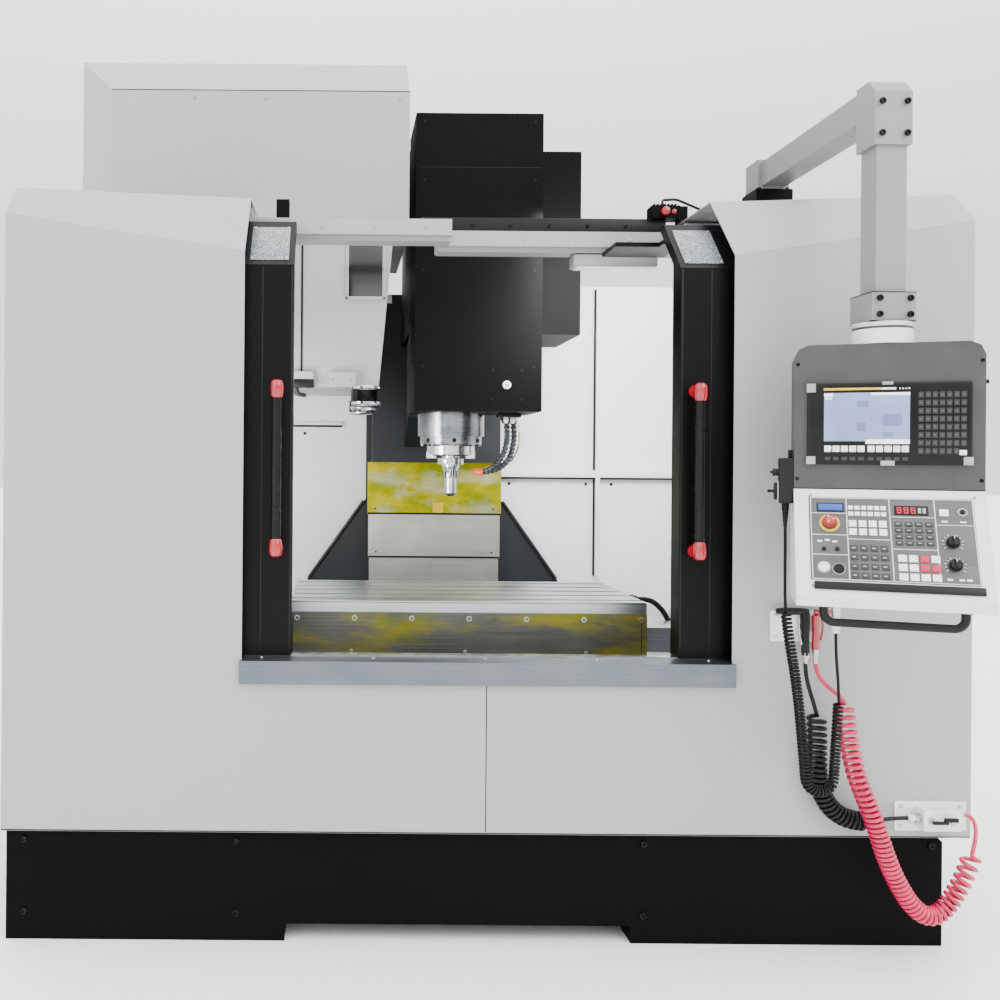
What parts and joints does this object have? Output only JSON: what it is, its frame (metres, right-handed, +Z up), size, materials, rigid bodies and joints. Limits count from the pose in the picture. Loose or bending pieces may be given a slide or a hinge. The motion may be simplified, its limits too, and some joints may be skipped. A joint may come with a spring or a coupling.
{
  "type": "cnc machining center",
  "caption": "Vertical machining centre: sliding doors, moving table, head and spindle, tool changer, swinging control pendant with handwheel, wash guns and coiled hoses.",
  "frame": {"origin": "on the floor under the middle of the bed, on the machine's centreline", "axes": "+X to the operator's right, +Y away from the operator, +Z up"},
  "size_m": [2.53, 2.8474, 2.48],
  "materials": {
    "warm_grey_paint": "fine texture",
    "black_paint": "matte",
    "white_paint": "satin",
    "dark_grey_paint": "satin",
    "cast_paint": "painted casting",
    "stainless": "brushed",
    "ground_steel": "ground",
    "bright_steel": "polished",
    "table_iron": "ground",
    "pane": "clear",
    "handle_plastic": "gloss",
    "black_plastic": "matte",
    "grey_plastic": "satin",
    "red_plastic": "gloss",
    "white_plastic": "gloss",
    "black_rubber": "smooth",
    "red_hose": "polyurethane"
  },
  "bodies": {
    "frame": {"base_frame": "black_paint", "foot_blocks": "black_paint", "machine_bed": "cast_paint", "column": "dark_grey_paint", "guide_rails": "ground_steel", "left_cover": "warm_grey_paint", "right_cover": "warm_grey_paint", "sill": "stainless", "chamber_liner": "white_paint", "chip_tray": "white_paint", "header_beams": "warm_grey_paint", "roof_fittings": "warm_grey_paint", "magazine_guard": "warm_grey_paint", "magazine_cover": "white_paint", "electrical_cabinet": "warm_grey_paint", "coolant_tank": "black_paint", "hose_brackets": "white_paint", "wash_guns": "bright_steel", "black_hose": "black_rubber", "black_coil": "black_rubber", "red_hose": "red_hose", "red_coil": "red_hose"},
    "left_door": {"left_door": "black_paint", "left_door_window": "pane", "left_handle": "handle_plastic"},
    "right_door": {"right_door": "black_paint", "right_door_window": "pane", "right_handle": "handle_plastic"},
    "saddle": {"saddle": "cast_paint", "saddle_guard": "stainless"},
    "table": {"table": "table_iron", "table_covers": "stainless"},
    "head": {"head_casting": "dark_grey_paint", "head_cover": "black_paint", "head_side_box": "black_paint", "spindle_housing": "bright_steel", "coolant_lines": "black_plastic"},
    "spindle": {"tool_spindle": "bright_steel"},
    "cover_one": {"z_cover_1": "stainless"},
    "cover_two": {"z_cover_2": "stainless"},
    "cover_three": {"z_cover_3": "stainless"},
    "changer_arm": {"atc_arm": "bright_steel"},
    "magazine": {"magazine_disc": "black_plastic"},
    "rear_door": {"rear_door": "warm_grey_paint"},
    "pendant_arm": {"pendant_arm": "warm_grey_paint"},
    "pendant": {"pendant_case": "dark_grey_paint", "pendant_console": "grey_plastic", "cnc_unit": "black_plastic", "console_keys": "white_plastic", "pendant_handle": "black_paint", "mpg_case": "black_plastic", "mpg_cord": "black_rubber", "mpg_curl": "black_rubber"},
    "mpg_wheel": {"mpg_wheel": "black_plastic"},
    "e_stop": {"e_stop_button": "red_plastic"},
    "push_white": {"push_white": "white_plastic"},
    "push_black": {"push_black": "black_plastic"},
    "knob_upper": {"knob_upper": "black_plastic"},
    "knob_lower": {"knob_lower": "black_plastic"}
  },
  "joints": [
    {"name": "left_door_slide", "type": "slide", "parent": "frame", "child": "left_door", "axis": [1, 0, 0], "range_m": [0, 0.486]},
    {"name": "right_door_slide", "type": "slide", "parent": "frame", "child": "right_door", "axis": [-1, 0, 0], "range_m": [0, 0.486]},
    {"name": "saddle_slide", "type": "slide", "parent": "frame", "child": "saddle", "axis": [0, 1, 0], "range_m": [0, 0.5]},
    {"name": "table_slide", "type": "slide", "parent": "saddle", "child": "table", "axis": [1, 0, 0], "range_m": [-0.4, 0.4]},
    {"name": "head_slide", "type": "slide", "parent": "frame", "child": "head", "axis": [0, 0, 1], "range_m": [-0.26, 0.25]},
    {"name": "spindle_spin", "type": "hinge", "parent": "head", "child": "spindle", "pos_m": [0, -0.25, 1.2], "axis": [0, 0, 1], "continuous": true},
    {"name": "cover_one_slide", "type": "slide", "parent": "frame", "child": "cover_one", "axis": [0, 0, 1], "range_m": [-0.27, 0.26]},
    {"name": "cover_two_slide", "type": "slide", "parent": "frame", "child": "cover_two", "axis": [0, 0, 1], "range_m": [-0.18, 0.18]},
    {"name": "cover_three_slide", "type": "slide", "parent": "frame", "child": "cover_three", "axis": [0, 0, 1], "range_m": [-0.09, 0.09]},
    {"name": "changer_arm_swing", "type": "hinge", "parent": "frame", "child": "changer_arm", "pos_m": [-0.29, -0.36, 1.4], "axis": [0, 0, 1], "range_deg": [-15, 15]},
    {"name": "magazine_spin", "type": "hinge", "parent": "frame", "child": "magazine", "pos_m": [-0.7, -0.18, 2.145], "axis": [1, 0, 0], "continuous": true},
    {"name": "rear_door_hinge", "type": "hinge", "parent": "frame", "child": "rear_door", "pos_m": [0.451, 1.2403, 1.085], "axis": [0, 0, 1], "range_deg": [-110, 0]},
    {"name": "pendant_arm_swing", "type": "hinge", "parent": "frame", "child": "pendant_arm", "pos_m": [0.862, -0.67, 1.985], "axis": [0, 0, 1], "range_deg": [-12, 20]},
    {"name": "pendant_swivel", "type": "hinge", "parent": "pendant_arm", "child": "pendant", "pos_m": [0.862, -1.309, 1.5], "axis": [0, 0, 1], "range_deg": [-12, 40]},
    {"name": "mpg_turn", "type": "hinge", "parent": "pendant", "child": "mpg_wheel", "pos_m": [0.64569, -1.25892, 1.14], "axis": [-0.9348, 0.3551, 0], "continuous": true},
    {"name": "e_stop_press", "type": "slide", "parent": "pendant", "child": "e_stop", "axis": [0.3111, 0.819, -0.4821], "range_m": [0, 0.005], "stiffness_N_per_m": 800, "springref_m": -0.004},
    {"name": "push_white_press", "type": "slide", "parent": "pendant", "child": "push_white", "axis": [0.3111, 0.819, -0.4821], "range_m": [0, 0.004], "stiffness_N_per_m": 400, "springref_m": -0.004},
    {"name": "push_black_press", "type": "slide", "parent": "pendant", "child": "push_black", "axis": [0.3111, 0.819, -0.4821], "range_m": [0, 0.004], "stiffness_N_per_m": 400, "springref_m": -0.004},
    {"name": "knob_upper_turn", "type": "hinge", "parent": "pendant", "child": "knob_upper", "pos_m": [0.93155, -1.46946, 1.03969], "axis": [-0.3111, -0.819, 0.4821], "range_deg": [-150, 150]},
    {"name": "knob_lower_turn", "type": "hinge", "parent": "pendant", "child": "knob_lower", "pos_m": [0.92304, -1.49356, 0.99325], "axis": [-0.3111, -0.819, 0.4821], "range_deg": [-150, 150]}
  ],
  "couplings": [
    {"joint": "cover_one_slide", "follows": "head_slide", "ratio": 1},
    {"joint": "cover_two_slide", "follows": "head_slide", "ratio": 0.6667},
    {"joint": "cover_three_slide", "follows": "head_slide", "ratio": 0.3333}
  ]
}
